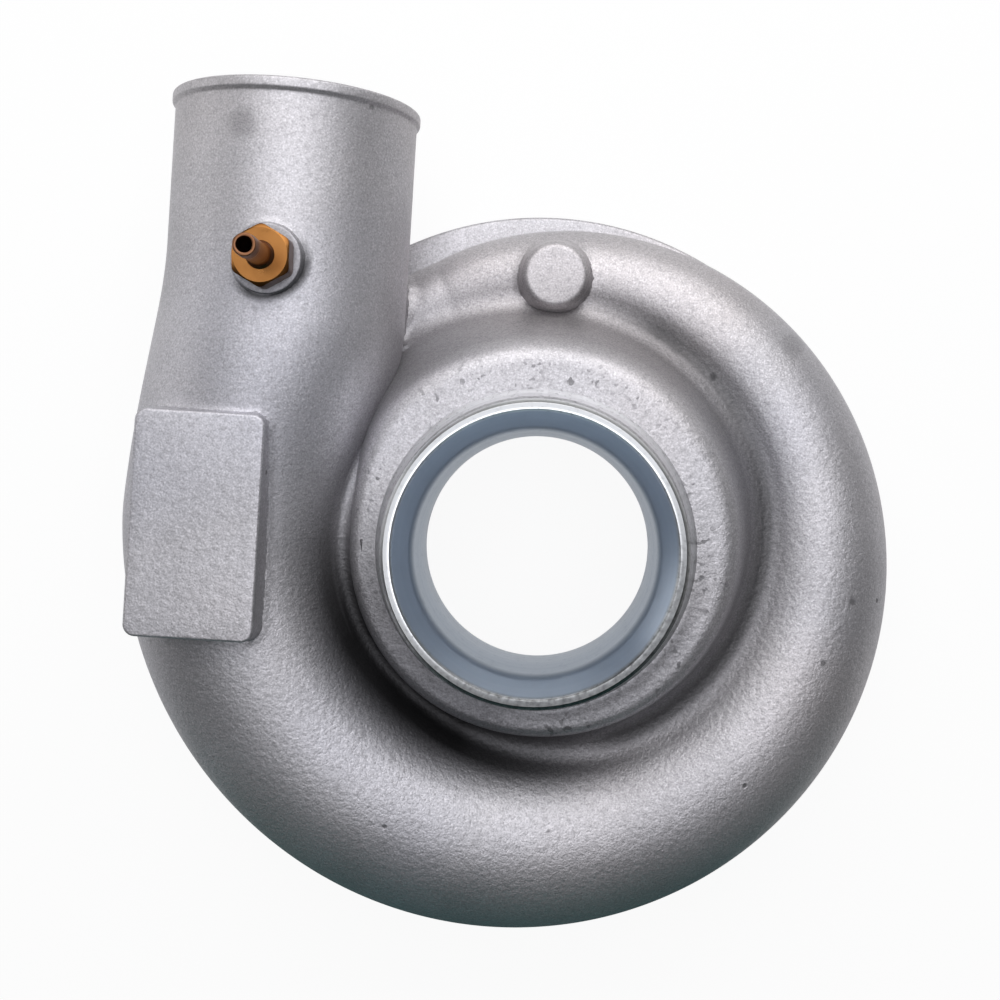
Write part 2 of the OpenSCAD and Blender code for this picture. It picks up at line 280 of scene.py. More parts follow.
class Casting:
    """The outer form of the casting as distances, and the laws that its surfaces are worked out from."""

    def __init__(self, s):
        self.s = s
        self.turn = np.degrees(s.scroll.tongue_angle)
        self.mouth = self.turn + 180.0

    def section(self, w):
        """Outer radius of the scroll section at w degrees from the tongue: it grows as a power of w.

        Ahead of the tongue it goes on shrinking evenly.
        """
        c = self.s.scroll
        grown = (np.maximum(w, 0.0) / self.mouth) ** GROWTH
        return c.tongue_s + (c.mouth_s - c.tongue_s) * grown + np.minimum(w, 0.0) * SHRINKING

    def inner(self, w):
        """Distance of the scroll's inner side from the bore axis, falling evenly with w."""
        c = self.s.scroll
        return c.tongue_r - (c.tongue_r - c.mouth_r) * w / self.mouth

    def run(self, y):
        """Centre offset and radius of the outlet run at y: both sides ease over into the pipe.

        At first each side keeps some of the slope that the scroll ends with, so no crease shows.
        """
        c, o = self.s.scroll, self.s.outlet
        y = np.maximum(y, 0.0)
        outside = c.mouth_r + 2.0 * c.mouth_s
        near = -c.mouth_r + (c.mouth_r - o.pipe_x + o.pipe_r) * ease(y / o.run_inner)
        far = -outside + (outside - o.pipe_x - o.pipe_r) * ease(y / o.run_outer)
        lead = y * np.clip(1.0 - y / SLOPE_FADE, 0.0, 1.0) ** 2
        near = near + INNER_SLOPE * lead
        far = far - OUTER_SLOPE * lead
        return (near + far) / 2.0, (near - far) / 2.0

    def wrap(self, x, y):
        """Degrees from the tongue, from 66 before it to 294 past it."""
        return np.mod(self.turn - np.degrees(np.arctan2(y, x)) + BEFORE, 360.0) - BEFORE

    def spread(self, w):
        """How far the flank leans out: 0 at the large end of the scroll and 1 at the small end.

        It rises over the first 45 degrees of wrap and falls over the 150 that end 70 degrees before the mouth.
        """
        return ease((w + BEFORE) / 45.0) * ease((self.mouth - 70.0 - w) / 150.0)

    def edge(self, w):
        """Radius of the shelf's edge before its rounding."""
        return self.s.hub.shelf_r + self.s.hub.shelf_spread * self.spread(w)

    def edge_round(self, w):
        """Rounding of the shelf's edge, softer where the flank leans out."""
        return self.s.hub.shelf_round + self.s.hub.soft_round * self.spread(w)

    def draft(self, w):
        """Draft of the hub flank in radians."""
        return np.radians(DRAFT + MORE_DRAFT * self.spread(w))

    def valley(self, w):
        """Radius of the hollow between hub and scroll: from 160 to 250 degrees it falls to 0.375 of its size."""
        return self.s.hub.valley_round * (0.375 + 0.625 * ease((250.0 - w) / 90.0))

    def hub_distance(self, p):
        """Distance to the hub: level shelf and drafted flank with a rounded edge."""
        x, y, z = np.moveaxis(p, -1, 0)
        h = self.s.hub
        w = self.wrap(x, y)
        b = self.draft(w)
        flank = (np.hypot(x, y) - self.edge(w)) * np.cos(b) + (z - h.shelf_z) * np.sin(b)
        return round_cut(z - h.shelf_z, flank, self.edge_round(w))

    def scroll_distance(self, p):
        """Distance to the scroll's round section in the plane through the bore axis."""
        x, y, z = np.moveaxis(p, -1, 0)
        w = self.wrap(x, y)
        s = self.section(w)
        reach = np.hypot(np.hypot(x, y) - self.inner(w) - s, z - self.s.scroll.floor_z - s) - s
        return np.where(w < -LEAD - 1.0, FAR, reach)

    def run_distance(self, p):
        """Distance to the outlet run and pipe across their length."""
        x, y, z = np.moveaxis(p, -1, 0)
        centre, s = self.run(y)
        return np.where((y < -0.5) | (x > 0.0), FAR, np.hypot(x - centre, z - self.s.scroll.floor_z - s) - s)

    def flange_distance(self, p):
        """Distance to the back flange's rounded edge; only the outer 7 mm count."""
        b = self.s.back
        x, y, z = np.moveaxis(p, -1, 0)
        r = np.hypot(x, y)
        return np.where(r < b.flange_r - 7.0, FAR, round_cut(r - b.flange_r, z - b.flange_t, 1.0))

    def pad_distance(self, p):
        """Distance to the pad: a box with round corners and a little draft, its upper edge rounded."""
        d = self.s.pad
        x, y, z = np.moveaxis(p, -1, 0)
        qx = np.abs(x + d.pad_x) - d.pad_w / 2.0 + d.pad_corner
        qy = np.abs(y - d.pad_y) - d.pad_l / 2.0 + d.pad_corner
        flat = np.hypot(np.maximum(qx, 0.0), np.maximum(qy, 0.0)) + np.minimum(np.maximum(qx, qy), 0.0) - d.pad_corner
        return round_cut(flat * np.cos(PAD_LEAN) + (z - d.pad_z) * np.sin(PAD_LEAN), z - d.pad_z, PAD_EDGE)

    def boss_place(self):
        """Centre and height of the round boss: 1 mm inside the scroll's crest, on the pipe side of the bore."""
        w = self.turn - 90.0
        s = self.section(w)
        return np.array([0.5, self.inner(w) + s - 1.0]), self.s.scroll.floor_z + 2.0 * s + self.s.pad.boss_rise

    def boss_distance(self, p):
        """Distance to the round boss: a cone of small draft with a rounded edge."""
        (boss_x, boss_y), top = self.boss_place()
        x, y, z = np.moveaxis(p, -1, 0)
        side = (np.hypot(x - boss_x, y - boss_y) - self.s.pad.boss_r) * np.cos(BOSS_LEAN)
        return round_cut(side + (z - top) * np.sin(BOSS_LEAN), z - top, BOSS_EDGE)

    def seat_distance(self, p):
        """Distance to the short round seat of the nipple."""
        n = self.s.nipple
        x, y, z = np.moveaxis(p, -1, 0)
        return round_cut(np.hypot(x + n.x, y - n.y) - n.seat_r, z - n.seat_z, SEAT_EDGE)

    def marks_distance(self, p):
        """Distance to the nearest of pad, boss and nipple seat."""
        return np.minimum(np.minimum(self.pad_distance(p), self.boss_distance(p)), self.seat_distance(p))


def halve(test, low, high, rounds):
    """Upper ends of intervals that are halved round after round towards where the test turns false."""
    for _ in range(rounds):
        mid = (low + high) / 2.0
        true = test(mid)
        low, high = np.where(true, mid, low), np.where(true, high, mid)
    return high


def settle(points, normals, own, other, radius, reach):
    """Moves each point out along its normal to the fillet of two bodies, and lets it sink past the middle.

    own and other give distances. A point that is nearer to the other body than to its own drops back by 0.6 of
    the difference, so that the other body's surface covers it.
    """

    def inside(step):
        p = points + normals * step[..., None]
        return round_union(own(p), other(p), radius) < 0.0

    found = halve(inside, np.zeros(points.shape[:-1]), np.full(points.shape[:-1], float(reach)), 16)
    step = np.where(found < 0.001, 0.0, found)
    p = points + normals * step[..., None]
    past = own(p) - other(p)
    return points + normals * (step - 0.6 * np.clip(past - 0.15, 0.0, 3.0) * (step > 0.0))[..., None]


def grid_normals(points):
    """Unit normals of a grid of points: the cross product of its two central differences."""
    n = np.cross(np.gradient(points, axis=0), np.gradient(points, axis=1))
    return n / np.maximum(np.linalg.norm(n, axis=-1, keepdims=True), 1e-9)


def grid_faces(rows, columns, wrap_rows, wrap_columns):
    """Quads of a grid whose vertices run row by row."""
    i = np.arange(rows if wrap_rows else rows - 1)[:, None]
    j = np.arange(columns if wrap_columns else columns - 1)[None, :]
    i2 = (i + 1) % rows
    j2 = (j + 1) % columns
    quads = np.stack([i * columns + j, i2 * columns + j, i2 * columns + j2, i * columns + j2], axis=-1)
    return quads.reshape(-1, 4)


def outward(vertices, faces):
    """Faces turned so that the volume they enclose is positive."""
    a, b, c, d = (vertices[faces[:, k]] for k in range(4))
    volume = np.einsum("ij,ij->i", a, np.cross(b, c)).sum() + np.einsum("ij,ij->i", a, np.cross(c, d)).sum()
    return faces if volume > 0.0 else faces[:, ::-1]


def grid_surface(points, wrap_rows=True, wrap_columns=True):
    """Vertices and outward faces of a grid of points, and the outlines that cap its two open ends, if it has any."""
    rows, columns = points.shape[:2]
    vertices = points.reshape(-1, 3)
    faces = outward(vertices, grid_faces(rows, columns, wrap_rows, wrap_columns))
    caps = ()
    if not wrap_rows:
        end = np.arange(columns)
        caps = (end[::-1], end + (rows - 1) * columns)
    elif not wrap_columns:
        end = np.arange(rows) * columns
        caps = (end, end[::-1] + columns - 1)
    return vertices, faces, caps


def resample(path, count):
    """Points at even arc length along a polyline."""
    run = np.concatenate([[0.0], np.cumsum(np.linalg.norm(np.diff(path, axis=0), axis=1))])
    t = np.linspace(0.0, run[-1], count)
    return np.stack([np.interp(t, run, column) for column in path.T], axis=-1)


def add_piece(name, surface, finish, sharp_deg=38.0):
    """Mesh object from a surface in millimetres, placed in its mesh, riding on the root body."""
    vertices, faces, caps = surface
    mesh = bpy.data.meshes.new(name)
    mesh.vertices.add(len(vertices))
    mesh.vertices.foreach_set("co", (vertices * MM).astype(np.float32).ravel())
    corners = np.concatenate([faces.ravel(), *caps])
    counts = np.array([faces.shape[1]] * len(faces) + [len(cap) for cap in caps])
    mesh.loops.add(len(corners))
    mesh.loops.foreach_set("vertex_index", corners.astype(np.int32))
    mesh.polygons.add(len(counts))
    mesh.polygons.foreach_set("loop_start", (np.cumsum(counts) - counts).astype(np.int32))
    mesh.polygons.foreach_set("use_smooth", np.ones(len(counts), bool))
    mesh.update(calc_edges=True)
    mesh.validate()
    mesh.set_sharp_from_angle(angle=float(np.radians(sharp_deg)))
    mesh.materials.append(finish)
    piece = bpy.data.objects.new(name, mesh)
    bpy.context.scene.collection.objects.link(piece)
    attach(piece, "root")
    return piece


def rounded(profile, radii, steps):
    """Polyline with its corners replaced by arcs of the given radii, each cut short where its sides are short."""
    profile = np.asarray(profile, float)
    out = []
    n = len(profile)
    for k in range(n):
        p, a, b, r = profile[k], profile[k - 1], profile[(k + 1) % n], radii[k]
        u = (a - p) / max(np.linalg.norm(a - p), 1e-9)
        v = (b - p) / max(np.linalg.norm(b - p), 1e-9)
        angle = np.arccos(np.clip(u @ v, -1.0, 1.0))
        if r <= 0.0 or angle > 3.1:
            out.append(p[None])
            continue
        back = min(r / np.tan(angle / 2.0), 0.45 * np.linalg.norm(a - p), 0.45 * np.linalg.norm(b - p))
        r = back * np.tan(angle / 2.0)
        centre = p + (u + v) / max(np.linalg.norm(u + v), 1e-9) * (r / np.sin(angle / 2.0))
        d0, d1 = p + u * back - centre, p + v * back - centre
        t0 = np.arctan2(d0[1], d0[0])
        sweep = np.mod(np.arctan2(d1[1], d1[0]) - t0 + np.pi, 2.0 * np.pi) - np.pi
        t = t0 + sweep * np.linspace(0.0, 1.0, steps + 1)
        out.append(centre + r * np.stack([np.cos(t), np.sin(t)], axis=-1))
    return np.concatenate(out)


def revolve(profile, sides, centre=(0.0, 0.0)):
    """Closed profile of (radius, height) carried once round an upright axis at centre."""
    a = np.arange(sides) * 2.0 * np.pi / sides
    r, z = profile[:, 0], profile[:, 1]
    x = centre[0] + np.cos(a)[:, None] * r
    y = centre[1] + np.sin(a)[:, None] * r
    return grid_surface(np.stack([x, y, np.broadcast_to(z, x.shape)], axis=-1))


# Shader expressions


class Wire:
    """A node socket in an expression: each operator adds the Math node for it and returns its output."""

    def __init__(self, tree, socket):
        self.tree = tree
        self.socket = socket

    def _math(self, operation, *values):
        inputs = {f"i{k}": value for k, value in enumerate(values)}
        return add_node(self.tree, "ShaderNodeMath", {"operation": operation}, **inputs)

    def __add__(self, other):
        return self._math("ADD", self, other)

    def __radd__(self, other):
        return self._math("ADD", other, self)

    def __sub__(self, other):
        return self._math("SUBTRACT", self, other)

    def __rsub__(self, other):
        return self._math("SUBTRACT", other, self)

    def __mul__(self, other):
        return self._math("MULTIPLY", self, other)

    def __rmul__(self, other):
        return self._math("MULTIPLY", other, self)

    def __truediv__(self, other):
        return self._math("DIVIDE", self, other)

    def __pow__(self, other):
        return self._math("POWER", self, other)

    def at_least(self, other):
        return self._math("MAXIMUM", self, other)

    def at_most(self, other):
        return self._math("MINIMUM", self, other)


def feed(tree, socket, value):
    """Links a wire to a socket, or sets a plain value on it."""
    if isinstance(value, Wire):
        tree.links.new(value.socket, socket)
    else:
        socket.default_value = value


def add_node(tree, kind, settings=None, output=0, **inputs):
    """Adds a node: its settings first, then the values or wires of its inputs, by name or as i0, i1 and so on."""
    made = tree.nodes.new(kind)
    for key, value in (settings or {}).items():
        setattr(made, key, value)
    for key, value in inputs.items():
        socket = made.inputs[int(key[1:])] if key[0] == "i" and key[1:].isdigit() else made.inputs[key]
        feed(tree, socket, value)
    return Wire(tree, made.outputs[output]) if made.outputs else None


def shade(rgb, factor):
    """An RGBA colour from an RGB one, scaled by one factor or by one for each channel."""
    factors = factor if isinstance(factor, tuple) else (factor,) * 3
    return tuple(min(max(c * k, 0.0), 1.0) for c, k in zip(rgb, factors)) + (1.0,)


class Finish:
    """One material: a Principled shader whose base colour is stained with lighter and darker shades of itself."""

    def __init__(self, name, rgb, start=1.0, metallic=0.0):
        self.material = bpy.data.materials.new(name)
        self.material.use_nodes = True
        self.tree = self.material.node_tree
        self.tree.nodes.clear()
        self.place = self.node("ShaderNodeTexCoord", output="Object")
        self.rgb = tuple(rgb)
        self.base = shade(self.rgb, start)
        self.metallic = metallic
        self.normal = {}

    def node(self, kind, settings=None, output=0, **inputs):
        """Adds a node to this material."""
        return add_node(self.tree, kind, settings, output, **inputs)

    def noise(self, per_metre, detail, rough, where=None):
        """Noise between 0 and 1, per_metre grains to the metre, on Object coordinates."""
        return self.node(
            "ShaderNodeTexNoise", Vector=where or self.place, Scale=per_metre, Detail=detail, Roughness=rough
        )

    def ramp(self, value, low, high):
        """0 below low, 1 above high, even between."""
        return self.node("ShaderNodeMapRange", {"clamp": True}, Value=value, i1=low, i2=high)

    def band(self, value, start, full, fade, end):
        """0 up to start and from end on, 1 from full to fade, even between."""
        return self.ramp(value, start, full) * self.ramp(value, end, fade)

    def axes(self):
        """The three Object coordinates as wires."""
        split = self.node("ShaderNodeSeparateXYZ", i0=self.place).socket.node
        return [Wire(self.tree, axis) for axis in split.outputs]

    def stain(self, share, factor):
        """Mixes the finish's own colour, scaled by the factor, over the base colour; all of it where share is 1."""
        colour_over = shade(self.rgb, factor)
        self.base = self.node("ShaderNodeMix", {"data_type": "RGBA"}, output=2, i0=share, i6=self.base, i7=colour_over)

    def bump(self, height, strength, distance):
        """Works out the normal from a height."""
        self.normal = {"Normal": self.node("ShaderNodeBump", Height=height, Strength=strength, Distance=distance)}

    def done(self, rough):
        """The material, once its shader is fed."""
        inputs = {"Base Color": self.base, "Metallic": self.metallic, "Roughness": rough, **self.normal}
        shader = self.node("ShaderNodeBsdfPrincipled", **inputs)
        self.node("ShaderNodeOutputMaterial", Surface=shader)
        return self.material


def paint_hub_shade_and_flecks(f, patches):
    """Painted shade round the hub: thick in the hollow on the side away from the light, thinner on the right, under
    the lip and on the shelf.

    The side away from the light is where the direction from the bore axis comes near 228 degrees. A few dark flecks
    lie on the shelf too. All distances are in metres.
    """
    x, y, z = f.axes()
    radius = (x * x + y * y) ** 0.5
    across, along = x / radius.at_least(0.001), y / radius.at_least(0.001)
    # Painted shade: the side away from the light, near 228 degrees round the bore axis, gets the most
    unlit_side = f.ramp(across * -0.669 + along * -0.743, 0.25, 0.95)
    hollow = f.ramp(z, 0.0535, 0.0465) * f.band(radius, 0.036, 0.042, 0.054, 0.069)
    deep_shade = unlit_side * f.band(radius, 0.046, 0.049, 0.0505, 0.061)
    shelf = f.ramp(unlit_side, 0.2, 0.9) * f.band(radius, 0.0365, 0.0375, 0.044, 0.047)
    from_valley = radius - along * 0.0055 - 0.0553
    # Painted shade in the hollow on the right side
    right = f.ramp(across, -0.1, 0.45) * f.band(from_valley, -0.0055, -0.001, 0.001, 0.0065)
    # Painted shade on the shelf under the lip's lower side
    low = f.ramp(along, 0.1, -0.5) * f.band(radius, 0.0375, 0.0385, 0.0395, 0.0425)
    # Painted shade: the hollow between hub and scroll is darkened all round, most on the side away from the light
    painted_shade = hollow * (0.3 + unlit_side * 0.7)
    for share in (deep_shade, right * 0.82, low * 0.5, shelf * 0.6):
        painted_shade = painted_shade.at_least(share)
    f.stain((painted_shade * (0.8 + patches * 0.4)).at_most(0.98), 0.06)
    flecks = f.ramp(f.noise(620.0, 1.0, 0.5), 0.6, 0.66) * f.ramp(f.noise(110.0, 1.0, 0.5), 0.46, 0.6)
    f.stain(f.band(radius, 0.0365, 0.0375, 0.042, 0.048) * flecks * 0.75, 0.25)


def paint_seat_shade(f):
    """Painted shade at the foot of the nipple's seat on the side that the light doesn't reach, and the seat's top
    darkened all over.
    """
    nipple = bpy.context.scene.tch_nipple
    x, y = f.axes()[:2]
    across, along = x + nipple.x, y - nipple.y
    off = (across * across + along * along) ** 0.5
    edge = nipple.seat_r
    # Painted shade: the seat's foot on its lower right, the side away from the light
    seat_unlit_side = f.ramp((across * 0.55 - along * 0.83) / off.at_least(0.001), -0.1, 0.6)
    foot = f.band(off, edge - 0.0006, edge + 0.0002, edge + 0.0006, edge + 0.0022)
    f.stain(foot * seat_unlit_side * 0.85, 0.1)
    f.stain(f.ramp(off, edge + 0.0002, edge - 0.0004) * 0.35, 0.3)


def cast_finish(colours):
    """Sand-cast skin: fine grain over coarse lumps, warm and cool patches, painted shade round the hub and at the
    nipple's seat, dark flecks, a few dark pits and stains.
    """
    f = Finish("cast_skin", colours.cast, 0.9, 0.88)
    fine = f.noise(2300.0, 1.0, 0.5)
    lumps = f.noise(820.0, 1.5, 0.5)
    broad = f.noise(150.0, 2.0, 0.5)
    patches = f.noise(30.0, 2.0, 0.55)
    tint = f.noise(13.0, 1.0, 0.5)
    rough = f.ramp(f.noise(22.0, 2.0, 0.5), 0.4, 0.62)
    f.stain(f.ramp(patches, 0.36, 0.64), 1.06)
    f.stain(f.ramp(tint, 0.52, 0.68) * 0.5, (1.04, 0.985, 0.94))
    f.stain(f.ramp(tint, 0.46, 0.32) * 0.5, (0.96, 0.985, 1.05))
    f.stain(f.ramp(fine, 0.5, 0.72) * 0.45, 0.5)
    f.stain(f.ramp(fine, 0.44, 0.3) * 0.5, 1.4)
    f.stain(f.ramp(lumps, 0.56, 0.72) * 0.3, 0.62)
    paint_hub_shade_and_flecks(f, patches)
    cells = f.node("ShaderNodeTexVoronoi", Vector=f.place, Scale=95.0)
    pits = (1.0 - f.ramp(cells, 0.035, 0.07)) * f.ramp(f.noise(70.0, 0.0, 0.5), 0.64, 0.68)
    f.stain(pits * 0.75, 0.22)
    paint_seat_shade(f)
    x, y = f.axes()[:2]
    for spot_x, spot_y, size, depth in CAST_SPOTS:
        away = ((x - spot_x) ** 2.0 + (y - spot_y) ** 2.0) ** 0.5
        f.stain(f.ramp(away + (lumps - 0.5) * size * 0.8, size, size * 0.45) * depth, 0.12)
    coarse = 0.4 + f.ramp(y - x * 0.4, 0.07, -0.02) * 0.6
    f.bump((fine * (0.32 + rough * 0.2) + lumps * 0.95 + broad * 0.5) * coarse - pits * 0.9, 1.0, 0.00017)
    return f.done(0.5 + lumps * 0.14)


def machined_finish(colours):
    """Turned metal: fine lines that follow the bore axis, as noise on radius and height alone.

    The cone is darker than the lip; the flat lip face is dulled, painted shade lies on its lower right, and a darker
    speckled band lies in the seam at the hose seat.
    """
    f = Finish("turned_metal", colours.machined, 0.92, 0.95)
    x, y, z = f.axes()
    radius = (x * x + y * y) ** 0.5
    where = f.node("ShaderNodeCombineXYZ", X=radius, Y=z)
    lines = f.noise(5200.0, 2.0, 0.6, where)
    bands = f.noise(620.0, 2.0, 0.5, where)
    specks = f.noise(900.0, 2.0, 0.6)
    f.stain(f.ramp(bands, 0.4, 0.62), 1.05)
    f.stain(f.ramp(specks, 0.56, 0.68) * 0.45, 0.45)
    f.stain(f.ramp(radius, 0.0323, 0.0317) * (0.75 + bands * 0.4), (0.54, 0.6, 0.68))
    f.stain(f.band(radius, 0.0325, 0.0329, 0.0339, 0.0345) * 0.8, 0.32)
    # Painted shade on the lower right of the lip face, the side that the light reaches least
    low = f.ramp((y * 0.9 - x * 0.43) / radius.at_least(0.001), 0.2, -0.6)
    low = low * f.ramp(radius, 0.0316, 0.0322) * f.ramp(z, 0.0686, 0.0692)
    f.stain(low * (0.55 + specks * 0.6), 0.12)
    f.stain(f.band(radius, 0.0349, 0.0352, 0.0355, 0.0358) * (0.25 + specks * 0.8), 0.2)
    f.bump(lines * 0.8 + bands * 0.6, 0.35, 0.00006)
    return f.done(0.24 + bands * 0.12 + f.ramp(specks, 0.55, 0.75) * 0.12)


def bare_finish(name, rgb, rough, dull, top=None):
    """Bare metal with faint scratches: dull mixes in brown patches, and the skin below the height top is tarnished."""
    f = Finish(name, rgb, 1.0, 1.0)
    brown = (0.55, 0.45, 0.38)
    grain = f.noise(420.0, 3.0, 0.6)
    f.stain(f.ramp(f.noise(190.0, 2.0, 0.5), 0.42, 0.7) * dull, brown)
    f.stain(f.ramp(grain, 0.62, 0.75) * 0.35, brown)
    if top is not None:
        height = f.axes()[2] + grain * 0.0003
        f.stain(f.ramp(height, top, top - 0.0006) * 0.9, (0.32, 0.22, 0.2))
    f.bump(grain, 0.25, 0.00008)
    return f.done(rough + grain * 0.18)


def material(kind):
    """The named finish, made once and kept."""
    found = bpy.data.materials.get(kind)
    if found:
        return found
    c = bpy.context.scene.tch_finish
    if kind == "cast_skin":
        return cast_finish(c)
    if kind == "turned_metal":
        return machined_finish(c)
    if kind == "worn_brass":
        nipple = bpy.context.scene.tch_nipple
        return bare_finish(kind, c.brass, 0.22, 0.3, nipple.seat_z + nipple.hex_h)
    return bare_finish(kind, c.stem, 0.26, 0.8)


# Surfaces


def core_surface(s):
    """Machined core: lip, hose seat, cone, throat and wheel contour as one closed profile carried round the bore."""
    i, h, b = s.inlet, s.hub, s.back
    face = b.register_d + b.diffuser_gap
    top = i.throat_z - i.throat_l
    t = np.radians(np.linspace(0.0, 90.0, 25))[1:]
    contour = np.stack(
        [i.throat_r + (i.wheel_r + 4.0 - i.throat_r) * (1.0 - np.cos(t)), top - (top - face) * np.sin(t)], axis=-1
    )
    ledge = h.shelf_z - 4.5
    outside = np.array(
        [
            [i.core_r, face], [i.core_r, ledge], [i.foot_r + 1.6, ledge], [i.foot_r + 1.6, h.shelf_z - 1.0],
            [i.foot_r, h.shelf_z + 1.4], [i.seat_r, i.lip_z - i.seat_l], [i.seat_r, i.lip_z - 0.8],
            [i.lip_outer_r, i.lip_z], [i.lip_inner_r + 0.4, i.lip_z], [i.lip_inner_r, i.lip_z - 0.4],
            [i.cone_r, i.cone_z], [i.throat_r, i.throat_z], [i.throat_r, top],
        ]
    )
    radii = [0, 0, 0, 0.8, 1.2, 2.0, 0.15, 0.25, 0.15, 0.3, 6.0, 1.5, 0]
    profile = rounded(np.concatenate([outside, contour]), radii + [0] * len(contour), 7)
    return revolve(profile, 288)


def flange_surface(s):
    """Back flange: register bore, ring groove and seat as one closed profile carried round the bore."""
    b = s.back
    g0 = (b.register_d - b.groove_w) / 2.0
    corners = [
        [b.seat_r, b.flange_t], [b.seat_r, b.register_d], [b.register_r, b.register_d],
        [b.register_r, g0 + b.groove_w], [b.register_r + b.groove_d, g0 + b.groove_w],
        [b.register_r + b.groove_d, g0], [b.register_r, g0], [b.register_r, 0.0],
        [b.flange_r, 0.0], [b.flange_r, b.flange_t],
    ]
    radii = [0, 0.2, 0.3, 0.15, 0.2, 0.2, 0.15, 0.4, 0.8, 1.0]
    return revolve(rounded(corners, radii, 4), 288)


def hub_surface(s, form):
    """Hub ring: a closed section of shelf, rounded edge and drafted flank, carried round the bore.

    The flank leans by the draft at each angle, and its edge is rounded by an arc that touches shelf and flank.
    """
    h, i = s.hub, s.inlet
    a = np.linspace(0.0, 2.0 * np.pi, 480, endpoint=False)
    w = form.wrap(np.cos(a), np.sin(a))
    edge, b, q = form.edge(w), form.draft(w), form.edge_round(w)
    centre_r = edge - q * np.tan(np.pi / 4.0 - b / 2.0)
    shelf_r = (i.foot_r - 1.0) + (centre_r - i.foot_r + 1.0) * np.linspace(0.0, 1.0, 9)[:-1, None]
    t = np.pi / 2.0 + (b - np.pi / 2.0) * np.linspace(0.0, 1.0, 9)[:, None]
    arc_r, arc_z = centre_r + q * np.cos(t), h.shelf_z - q + q * np.sin(t)
    flank_l = 22.0
    down = np.linspace(0.0, 1.0, 34)[1:, None] * flank_l
    flank_r, flank_z = arc_r[-1] + down * np.sin(b), arc_z[-1] - down * np.cos(b)
    inside_r = np.stack([flank_r[-1] - 3.0, 0 * a + i.core_r - 1.0, 0 * a + i.core_r - 1.0, 0 * a + i.foot_r - 1.0])
    inside_z = np.stack([flank_z[-1] - 1.0, flank_z[-1] - 1.0, 0 * a + h.shelf_z - 6.5, 0 * a + h.shelf_z - 6.5])
    r = np.concatenate([shelf_r, arc_r, flank_r, inside_r])
    z = np.concatenate([0 * shelf_r + h.shelf_z, arc_z, flank_z, inside_z])
    return grid_surface(np.stack([r * np.cos(a), r * np.sin(a), z], axis=-1))


def section_arc(centre, radius, start, end, count):
    """Arcs from start to end in radians about the centres, one for each section, as an array (count, 2, sections)."""
    a = start + (end - start) * np.linspace(0.0, 1.0, count)[:, None]
    return np.stack([centre[0] + radius * np.cos(a), centre[1] + radius * np.sin(a)], axis=1)


def scroll_loops(s, form, w):
    """Closed section loops of the scroll at the wrap angles w: radius and height arrays, one row a section.

    Each runs down the hub flank, through the hollow that touches flank and scroll circle, round the circle to
    the ring notch, round the passage circle inside, along the diffuser face and back up inside the hub. Also
    returns how many points of each row are outer skin.
    """
    h, c, b, i = s.hub, s.scroll, s.back, s.inlet
    sec, lean, q = form.section(w), form.draft(w), form.valley(w)
    centre = np.stack([form.inner(w) + sec, c.floor_z + sec])
    out = np.stack([np.cos(lean), np.sin(lean)])
    down = np.stack([np.sin(lean), -np.cos(lean)])
    corner = np.stack([form.edge(w), 0 * w + h.shelf_z])
    v = corner + q * out - centre
    g = np.sum(v * down, axis=0)
    t = -g - np.sqrt(np.maximum(g * g - np.sum(v * v, axis=0) + (sec + q) ** 2, 0.01))
    hollow = corner + q * out + t * down
    touch = hollow - q * out
    start = np.stack([touch - down * 1.2 - out * 0.02, touch - down * 2.4 - out * 0.35])
    hidden = [touch - down * 5.0 - out * 3.0, start[1], start[0]]
    to_circle = np.arctan2(centre[1] - hollow[1], centre[0] - hollow[0])
    arc = section_arc(hollow, q, np.pi + lean, 2.0 * np.pi + to_circle, 15)
    face = b.register_d + b.diffuser_gap

    def at_radius(r, section_r):
        return -np.arccos(np.clip((r - centre[0]) / section_r, -1.0, 1.0))

    skin = section_arc(centre, sec, np.pi + to_circle, at_radius(b.seat_r, sec), 97)[1:]
    clear = sec - c.wall
    passage = section_arc(centre, clear, at_radius(b.seat_r, clear), 2.0 * np.pi + at_radius(b.diffuser_r, clear), 61)
    low_r = np.stack([0 * w + b.diffuser_r, 0 * w + i.core_r + 0.5, 0 * w + i.core_r - 1.0, touch[0] - 4.0])
    low_z = np.stack([0 * w + face, 0 * w + face, 0 * w + face + 3.0, touch[1]])
    low = np.stack([low_r, low_z], axis=1)
    loop = np.concatenate([np.stack(hidden), arc, skin, passage, low])
    r, z = loop[:, 0], loop[:, 1]
    z = np.where(r < b.diffuser_r + 0.01, np.maximum(z, face), z)
    return r, z, len(hidden) + len(arc) + len(skin)


